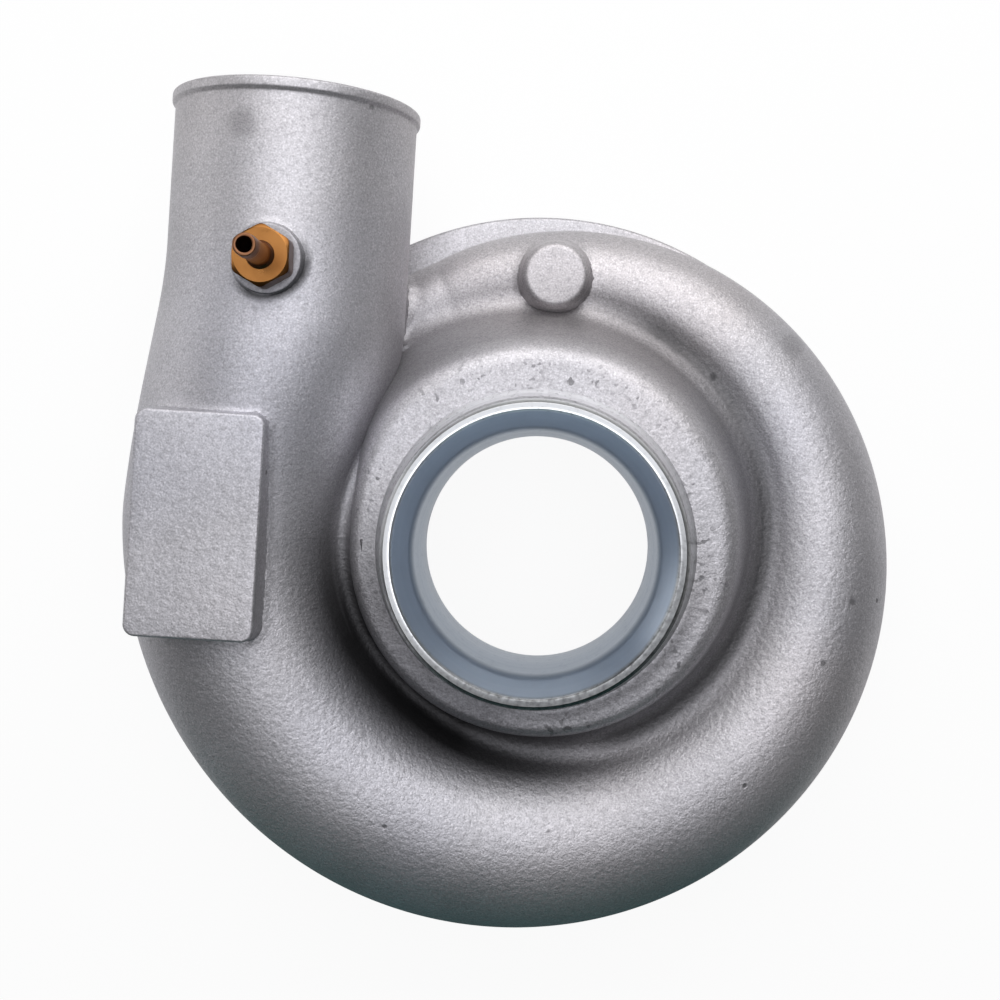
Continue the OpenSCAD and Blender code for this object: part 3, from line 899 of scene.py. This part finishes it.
def scroll_surface(s, form):
    """Scroll: its section loops carried round the bore from before the tongue to the mouth, capped at both ends.

    The outer skin settles onto the fillets of pad, boss, flange and outlet run; what would reach into the
    outlet's passage is drawn back into its wall.
    """
    c = s.scroll
    w = np.concatenate([np.linspace(-LEAD, 0.0, 34)[:-1], np.linspace(0.0, form.mouth, 331)])
    a = np.radians(form.turn - w)
    r, z, skin = scroll_loops(s, form, w)
    points = np.stack([r * np.cos(a), r * np.sin(a), z], axis=-1)
    outer = points[:skin]
    normals = grid_normals(outer)
    crest = normals[skin // 2, len(w) // 2]
    normals = normals * np.sign(crest[2])

    def others(p):
        return np.minimum(form.marks_distance(p), form.flange_distance(p))

    def near_run(p):
        return np.where(form.wrap(p[..., 0], p[..., 1]) < 20.0, form.run_distance(p), FAR)

    def own(p):
        return np.minimum(form.scroll_distance(p), form.hub_distance(p))

    shown, facing = outer[BURIED_ROWS:], normals[BURIED_ROWS:]
    shown[:] = settle(shown, facing, own, others, s.pad.foot_round, 1.0)
    shown[:] = settle(shown, facing, own, near_run, s.hub.run_round, 2.4)
    centre, q = form.run(points[..., 1])
    dx, dz = points[..., 0] - centre, points[..., 2] - c.floor_z - q
    away = np.hypot(dx, dz)
    wall = q - c.wall / 2.0
    early = (points[..., 1] > 0.5) & (points[..., 0] < 0.0) & (away < wall)
    pull = np.where(early, wall / np.maximum(away, 1e-6), 1.0)
    points[..., 0] = centre + dx * pull
    points[..., 2] = c.floor_z + q + dz * pull
    return grid_surface(points, True, False)


def outlet_surface(s, form):
    """Outlet run and pipe: a circle whose centre and radius follow the run's law, carried along Y.

    The path goes out over the bead, turns in at the open end and comes back along the passage, so the tube
    closes on itself. The outer skin settles onto the fillets of small scroll, pad and nipple seat.
    """
    o, c, b = s.outlet, s.scroll, s.back
    bead_y = o.pipe_end - o.bead_w
    end = [
        [bead_y - 2.0, 0.0], [bead_y, 0.0], [bead_y + 0.9, -o.bead_rise],
        [o.pipe_end, -o.bead_rise], [o.pipe_end, c.wall], [o.pipe_end - 2.0, c.wall],
    ]
    end = rounded(end, [0, 0.9, 0.8, 0.7, 0.5, 0], 5)
    out_y = np.linspace(-0.4, end[0, 0], 118)[:-1]
    back_y = np.linspace(end[-1, 0], -0.4, 70)[1:]
    y = np.concatenate([out_y, end[:, 0], back_y])
    inset = np.concatenate([0 * out_y, end[:, 1], 0 * back_y + c.wall])
    sides = 176
    a = np.arange(sides) * 2.0 * np.pi / sides
    centre, q = form.run(y)
    r = (q - inset)[:, None]
    z = c.floor_z + q[:, None] + r * np.sin(a)
    points = np.stack([centre[:, None] + r * np.cos(a), np.broadcast_to(y[:, None], z.shape), z], axis=-1)
    skin = len(out_y)
    around = np.stack([np.cos(a), 0 * a, np.sin(a)], axis=-1)
    normals = np.broadcast_to(around, points[:skin].shape)

    def small(p):
        return np.where(form.wrap(p[..., 0], p[..., 1]) < 60.0, form.scroll_distance(p), FAR)

    def marks(p):
        return np.minimum(form.marks_distance(p), form.flange_distance(p))

    points[:skin] = settle(points[:skin], normals, form.run_distance, small, s.hub.run_round, 2.2)
    points[:skin] = settle(points[:skin], normals, form.run_distance, marks, s.pad.foot_round, 1.0)
    radius = np.hypot(points[..., 0], points[..., 1])
    face = b.register_d + b.diffuser_gap
    floor = np.where(np.arange(len(y))[:, None] < skin, face, face + 2.0)
    points[..., 2] = np.where(radius < b.seat_r, np.maximum(points[..., 2], floor), points[..., 2])
    return grid_surface(points)


def valley_surface(s, form):
    """Hollow between hub and outlet run: what a ball sweeps that rolls between the hub's flank and the run.

    At each angle the ball's centre is sought down the flank until it also touches the run, to 17 mm at most. The
    skin is the arc between its two points of contact, and the section closes on itself inside the two bodies.
    Past the last angle where the ball touches both, 12 more sections sink under the skins by 0.8 mm each.
    """
    h, c = s.hub, s.scroll
    a = np.pi - np.radians(np.linspace(-0.4, 62.0, 110))
    w = form.turn - np.degrees(a) + 360.0
    q, lean = form.valley(w), form.draft(w)
    flat = np.stack([np.cos(a), np.sin(a), 0 * a], axis=-1)
    up = np.array([0.0, 0.0, 1.0])
    out = flat * np.cos(lean)[:, None] + up * np.sin(lean)[:, None]
    down = flat * np.sin(lean)[:, None] - up * np.cos(lean)[:, None]
    corner = flat * form.edge(w)[:, None] + up * h.shelf_z

    def reach(t):
        p = corner + out * q[:, None] + down * t[:, None]
        centre, r = form.run(p[:, 1])
        return np.hypot(p[:, 0] - centre, p[:, 2] - c.floor_z - r) - r - q, p, centre, r

    deepest = np.full(len(a), 17.0)
    open_end = reach(deepest)[0] > 0.0
    high = halve(lambda t: reach(t)[0] > 0.0, np.zeros(len(a)), deepest, 30)
    first = int(np.argmax(open_end)) if open_end.any() else len(a)
    past = np.maximum(np.arange(len(a)) - first + 1, 0)
    t = np.where(past > 0, high[max(first - 1, 0)] + past * 0.8, high)
    ball, centre, r = reach(t)[1:]
    to_hub = -out
    to_run = np.stack([centre - ball[:, 0], 0 * a, c.floor_z + r - ball[:, 2]], axis=-1)
    to_run /= np.linalg.norm(to_run, axis=1, keepdims=True)
    angle = np.arccos(np.clip(np.sum(to_hub * to_run, axis=1), -1.0, 1.0))[:, None]
    rows = []
    for k in np.linspace(0.0, 1.0, 17):
        share = (np.sin((1.0 - k) * angle) * to_hub + np.sin(k * angle) * to_run) / np.sin(angle)
        rows.append(ball + share * q[:, None])
    middle = to_hub + to_run
    middle /= np.linalg.norm(middle, axis=1, keepdims=True)
    rows.append(rows[-1] + to_run * 0.8 + middle * 1.5)
    rows.append(ball + middle * (q + 3.0)[:, None])
    rows.append(rows[0] + to_hub * 0.8 + middle * 1.5)
    keep = slice(0, min(first + 12, len(a)))
    return grid_surface(np.stack(rows, axis=1)[keep], False, True)


def rounded_rectangle(width, height, corner, count):
    """Outline of a rectangle with round corners at even arc length, and its outward normals."""
    t = np.linspace(0.0, np.pi / 2.0, 40)
    hw, hh = width / 2.0 - corner, height / 2.0 - corner
    parts = []
    for k, (sx, sy) in enumerate(((1, 1), (-1, 1), (-1, -1), (1, -1))):
        turned = t + k * np.pi / 2.0
        parts.append(np.stack([sx * hw + corner * np.cos(turned), sy * hh + corner * np.sin(turned)], -1))
    path = np.concatenate(parts + [parts[0][:1]])
    line = resample(path, count + 1)[:-1]
    tangent = np.roll(line, -1, 0) - np.roll(line, 1, 0)
    normal = np.stack([tangent[:, 1], -tangent[:, 0]], -1)
    return line, normal / np.linalg.norm(normal, axis=1, keepdims=True)


def raised_surface(line, normal, centre, top, own, foot, lean, edge, base, fillet):
    """Raised mark: its flat top, rounded edge and drafted wall, carried round a closed outline.

    The wall goes down to the height foot and flares onto the fillet with the body under it, whose distance is
    base. The top runs in to the centre in shrinking copies of the outline.
    """
    rings, steps = 12, 7
    inner = np.linspace(0.04, 0.8, rings)[:, None, None] * line
    t = np.linspace(np.pi / 2.0, lean, steps)[:, None]
    push = edge * np.cos(t) - edge * np.cos(lean)
    arc = line + normal * push[..., None]
    drop = np.linspace(0.0, 1.0, 30)[1:, None]
    wall_z = (top - edge * (1.0 - np.sin(lean))) * (1.0 - drop) + foot * drop
    wall = line + normal * ((top - wall_z) * np.tan(lean))[..., None]
    flat = np.concatenate([inner, arc, wall]) + np.asarray(centre)
    level = np.zeros(len(line))
    z = np.concatenate([np.full((rings, len(line)), top), top - edge + edge * np.sin(t) + level, wall_z + level])
    points = np.concatenate([flat, z[..., None]], axis=-1)
    side = np.concatenate([normal, 0 * normal[:, :1]], axis=-1)
    start = rings + steps
    points[start:] = settle(points[start:], np.broadcast_to(side, points[start:].shape), own, base, fillet, FLARE)
    return grid_surface(points, False, True)


def hex_surface(s):
    """Hexagon with round corners, its upper and lower edges chamfered by a cone about the axis.

    Its outline is where each direction meets the nearest of six flats, with a soft minimum that rounds the corners;
    the height of each ring sets how far the cone cuts them back.
    """
    n = s.nipple
    sides = 180
    a = np.arange(sides) * 2.0 * np.pi / sides
    to_flat = np.mod(a - HEX_TURN, np.pi / 3.0) - np.pi / 6.0
    flat = n.flats / 2.0 / np.cos(to_flat)
    corner = n.flats / 2.0 / np.cos(np.pi / 6.0)
    sharp = 9.0
    outline = -np.log(np.exp(-flat * sharp) + np.exp(-(corner - 0.25) * sharp)) / sharp
    z0, h = n.seat_z, n.hex_h
    step = np.concatenate([np.linspace(0.0, 1.0, 9), np.linspace(0.0, 1.0, 9)[::-1]])
    face_r = n.flats / 2.0 - 0.3
    span = corner - face_r + 0.1
    z = np.concatenate([z0 + step[:9] * 0.4, z0 + h - step[9:] * span * np.tan(np.pi / 6.0)])
    limit = (face_r + span * step)[:, None] + 0 * a
    r = np.minimum(outline, limit)
    inner = np.stack([0 * a + n.bore_d / 2.0, 0 * a + n.bore_d / 2.0])
    r = np.concatenate([inner[:1], r, inner[1:]])
    z = np.concatenate([[z0], z, [z0 + h]])
    return grid_surface(
        np.stack([-n.x + r * np.cos(a), n.y + r * np.sin(a), np.broadcast_to(z[:, None], r.shape)], axis=-1)
    )


def stem_surface(s):
    """Hose stem with one shallow barb and a rounded mouth, and the shank below it, bored through."""
    n = s.nipple
    r, bore = n.stem_d / 2.0, n.bore_d / 2.0
    z0, z1 = n.seat_z + n.hex_h, n.seat_z + n.hex_h + n.stem_l
    corners = [
        [bore, n.seat_z - 5.5], [4.0, n.seat_z - 5.5], [4.0, n.seat_z + 0.6], [r + 0.6, n.seat_z + 0.6],
        [r + 0.6, z0 + 0.2], [r, z0 + 0.8], [r - 0.12, z0 + 3.0], [r - 0.12, z1 - 4.2], [r, z1 - 3.4],
        [r - 0.1, z1], [bore, z1],
    ]
    radii = [0, 0.3, 0, 0, 0.3, 0.5, 0.5, 0.2, 0.4, 0.3, 0.2]
    return revolve(rounded(corners, radii, 4), 96, (-n.x, n.y))


# Operators


class TCH_OT_core(bpy.types.Operator):
    """Adds the machined core: inlet lip, cone, throat and wheel contour"""

    bl_idname = "tch.core"
    bl_label = "Inlet Core"

    def execute(self, context):
        surface = core_surface(sizes(context.scene))
        piece = add_piece("inlet_core", surface, material("turned_metal"), 28.0)
        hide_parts("compressor_housing")
        return {"FINISHED"}


class TCH_OT_flange(bpy.types.Operator):
    """Adds the back flange with its register bore and ring groove"""

    bl_idname = "tch.flange"
    bl_label = "Back Flange"

    def execute(self, context):
        surface = flange_surface(sizes(context.scene))
        piece = add_piece("back_flange", surface, material("cast_skin"), 28.0)
        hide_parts("compressor_housing")
        return {"FINISHED"}


class TCH_OT_casting(bpy.types.Operator):
    """Adds the cast hub, scroll and outlet pipe"""

    bl_idname = "tch.casting"
    bl_label = "Hub, Scroll and Outlet"

    def execute(self, context):
        s = sizes(context.scene)
        form = Casting(s)
        skin = material("cast_skin")
        pieces = [
            add_piece("hub_ring", hub_surface(s, form), skin),
            add_piece("scroll_shell", scroll_surface(s, form), skin),
            add_piece("outlet_tube", outlet_surface(s, form), skin),
            add_piece("outlet_valley", valley_surface(s, form), skin),
        ]
        for piece in pieces:
            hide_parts("compressor_housing")
        return {"FINISHED"}


class TCH_OT_marks(bpy.types.Operator):
    """Adds the raised pad, the round boss and the nipple's seat"""

    bl_idname = "tch.marks"
    bl_label = "Pad and Bosses"

    def execute(self, context):
        s = sizes(context.scene)
        form = Casting(s)
        skin = material("cast_skin")

        def base(p):
            return np.minimum(form.scroll_distance(p), form.run_distance(p))

        d, n = s.pad, s.nipple
        line, normal = rounded_rectangle(d.pad_w, d.pad_l, d.pad_corner, 260)
        a = np.arange(144) * 2.0 * np.pi / 144
        ring = np.stack([np.cos(a), np.sin(a)], -1)
        boss_at, boss_top = form.boss_place()
        seat_at = (-n.x, n.y)
        pad = (line, normal, (-d.pad_x, d.pad_y), d.pad_z, form.pad_distance, 48.0, PAD_LEAN, PAD_EDGE)
        boss = (ring * d.boss_r, ring, boss_at, boss_top, form.boss_distance, boss_top - 11.0, BOSS_LEAN, BOSS_EDGE)
        seat = (ring * n.seat_r, ring, seat_at, n.seat_z, form.seat_distance, n.seat_z - 4.0, 0.0, SEAT_EDGE)
        pieces = []
        for name, mark in (("raised_pad", pad), ("round_boss", boss), ("nipple_seat", seat)):
            pieces.append(add_piece(name, raised_surface(*mark, base, d.foot_round), skin))
        for piece in pieces:
            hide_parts("compressor_housing")
        return {"FINISHED"}


class TCH_OT_nipple(bpy.types.Operator):
    """Adds the brass hose nipple"""

    bl_idname = "tch.nipple"
    bl_label = "Hose Nipple"

    def execute(self, context):
        s = sizes(context.scene)
        pieces = [
            add_piece("nipple_hexagon", hex_surface(s), material("worn_brass"), 20.0),
            add_piece("nipple_stem", stem_surface(s), material("dark_brass"), 28.0),
        ]
        for piece in pieces:
            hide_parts("hose_nipple")
        return {"FINISHED"}


def panel(name, place, aim, size, level, tint=(1.0, 1.0, 1.0)):
    """Soft light panel at place, turned to aim, both in metres; at level 1 its face is as bright as white paper."""
    lamp = bpy.data.lights.new(name, "AREA")
    lamp.shape = "RECTANGLE"
    lamp.size, lamp.size_y = size
    lamp.energy = level * np.pi * size[0] * size[1]
    lamp.color = tint
    holder = bpy.data.objects.new(name, lamp)
    bpy.context.scene.collection.objects.link(holder)
    holder.location = place
    holder.rotation_euler = (Vector(aim) - Vector(place)).to_track_quat("-Z", "Y").to_euler()


def paper_finish():
    """Floor paper: matte to the light, and evenly white to the camera and faintly so in the metal's reflections."""
    paper = bpy.data.materials.new("paper")
    paper.use_nodes = True
    tree = paper.node_tree
    tree.nodes.clear()
    seen = add_node(tree, "ShaderNodeLightPath", output="Is Camera Ray")
    mirrored = add_node(tree, "ShaderNodeLightPath", output="Is Glossy Ray")
    matte = add_node(tree, "ShaderNodeBsdfDiffuse", Color=(0.8, 0.8, 0.8, 1.0))
    white = add_node(tree, "ShaderNodeEmission", Strength=1.0)
    mixed = add_node(tree, "ShaderNodeMixShader", i0=seen * 0.93 + mirrored * 0.35, i1=matte, i2=white)
    add_node(tree, "ShaderNodeOutputMaterial", Surface=mixed)
    return paper


def stage_mesh(name, corners, faces, finish):
    """Flat mesh of the studio, in metres."""
    mesh = bpy.data.meshes.new(name)
    mesh.from_pydata(corners, [], faces)
    mesh.materials.append(finish)
    sheet = bpy.data.objects.new(name, mesh)
    bpy.context.scene.collection.objects.link(sheet)
    return sheet


class TCH_OT_stage(bpy.types.Operator):
    """Adds the floor, the studio light and the camera"""

    bl_idname = "tch.stage"
    bl_label = "Stage"

    def execute(self, context):
        scene = context.scene
        studio = scene.tch_studio
        half = 3.0
        corners = [(-half, -half, 0), (half, -half, 0), (half, half, 0), (-half, half, 0)]
        floor = stage_mesh("floor", corners, [(0, 1, 2, 3)], paper_finish())

        world = bpy.data.worlds.new("studio")
        world.use_nodes = True
        tree = world.node_tree
        back = tree.nodes["Background"]
        back.inputs["Color"].default_value = (1.0, 1.0, 1.0, 1.0)
        seen = add_node(tree, "ShaderNodeLightPath", output="Is Camera Ray")
        feed(tree, back.inputs["Strength"], seen * (1.0 - studio.world) + studio.world)
        scene.world = world

        key = studio.key
        panel("top", (0.02, 0.52, 0.46), (0.0, 0.0, 0.03), (0.8, 0.5), key)
        panel("overhead", (0.02, 0.08, 0.72), (0.02, 0.0801, 0.0), (0.6, 0.6), key * 0.67, (0.975, 0.99, 1.03))
        panel("left", (-0.64, 0.14, 0.22), (0.0, 0.0, 0.03), (0.4, 0.3), key * 0.55)

        # Dark teal card seen only in reflections, a painted shade: it darkens the lower side of the casting and tints
        # it teal
        near, far, high, wide, lift = -0.098, -0.42, 0.22, 0.35, 0.001
        corners = [
            (-wide, far, lift), (wide, far, lift), (wide, near, lift), (-0.2, near, lift),
            (-wide, far, high), (wide, far, high),
        ]
        felt = Finish("felt", (0.0, 0.1, 0.096)).done(0.9)
        card = stage_mesh("dark_card", corners, [(0, 1, 2, 3), (0, 1, 5, 4)], felt)
        card.visible_camera = False
        card.visible_diffuse = False
        card.visible_shadow = False

        scene.view_settings.view_transform = "Standard"
        eye = bpy.data.cameras.new("camera")
        eye.lens = studio.lens
        eye.sensor_width = 36.0
        eye.clip_start = 0.01
        eye.clip_end = 20.0
        eye.shift_x = -0.0619
        eye.shift_y = -0.0502
        camera = bpy.data.objects.new("camera", eye)
        scene.collection.objects.link(camera)
        camera.location = (studio.camera_x, studio.camera_y, studio.camera_z)
        camera.rotation_euler = (0.0, 0.0, studio.roll)
        scene.camera = camera
        return {"FINISHED"}


class TCH_PT_panel(bpy.types.Panel):
    """Sidebar panel with one button for each piece"""

    bl_idname = "TCH_PT_panel"
    bl_label = "Compressor Housing"
    bl_space_type = "VIEW_3D"
    bl_region_type = "UI"
    bl_category = "Housing"

    def draw(self, context):
        for key, group in SIZE_GROUPS.items():
            box = self.layout.box()
            box.label(text=group.__doc__.split(".")[0].split(":")[0])
            values = getattr(context.scene, key)
            for name in group.__annotations__:
                box.prop(values, name)
        for step in STEPS:
            self.layout.operator(step.bl_idname)


STEPS = (TCH_OT_core, TCH_OT_flange, TCH_OT_casting, TCH_OT_marks, TCH_OT_nipple, TCH_OT_stage)


def register():
    for group in SIZE_GROUPS.values():
        bpy.utils.register_class(group)
    for key, group in SIZE_GROUPS.items():
        setattr(bpy.types.Scene, key, bpy.props.PointerProperty(type=group))
    for step in STEPS + (TCH_PT_panel,):
        bpy.utils.register_class(step)


def unregister():
    for step in reversed(STEPS + (TCH_PT_panel,)):
        bpy.utils.unregister_class(step)
    for key in SIZE_GROUPS:
        delattr(bpy.types.Scene, key)
    for group in reversed(tuple(SIZE_GROUPS.values())):
        bpy.utils.unregister_class(group)


def main():
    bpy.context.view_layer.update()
    register()
    for step in STEPS:
        getattr(bpy.ops.tch, step.bl_idname.split(".")[1])()


if __name__ == "__main__":
    main()
